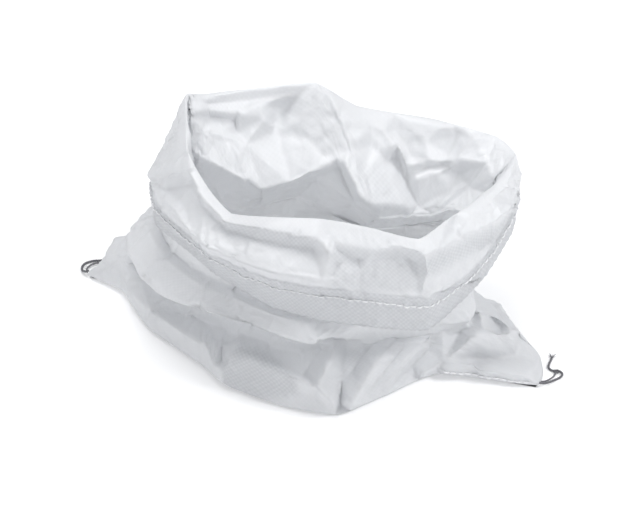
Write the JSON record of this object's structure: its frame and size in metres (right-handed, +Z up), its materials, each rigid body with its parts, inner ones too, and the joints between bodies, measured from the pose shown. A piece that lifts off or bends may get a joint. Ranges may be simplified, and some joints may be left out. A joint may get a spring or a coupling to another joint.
{
  "type": "woven polypropylene sack",
  "caption": "Empty woven plastic sack squashed down on the floor, its mouth turned out into a deep hemmed cuff, with loose seam threads at its bottom corners.",
  "frame": {"origin": "on the floor, under the middle of the sack without its loose threads", "axes": "+X along the longest side, from the back-left ear to the front-right ear, +Y to the back, +Z up through the mouth"},
  "size_m": [0.5504, 0.3275, 0.2643],
  "materials": {
    "cloth": "white woven polypropylene tape, silky",
    "hem_thread": "white sewing thread",
    "seam_thread": "dark grey twisted sewing thread, frayed"
  },
  "bodies": {
    "root": {"woven_sack": "cloth", "hem_stitching": "hem_thread", "bottom_seam_stitching": "hem_thread", "thread_tail_left": "seam_thread", "thread_tail_right": "seam_thread"}
  },
  "joints": []
}
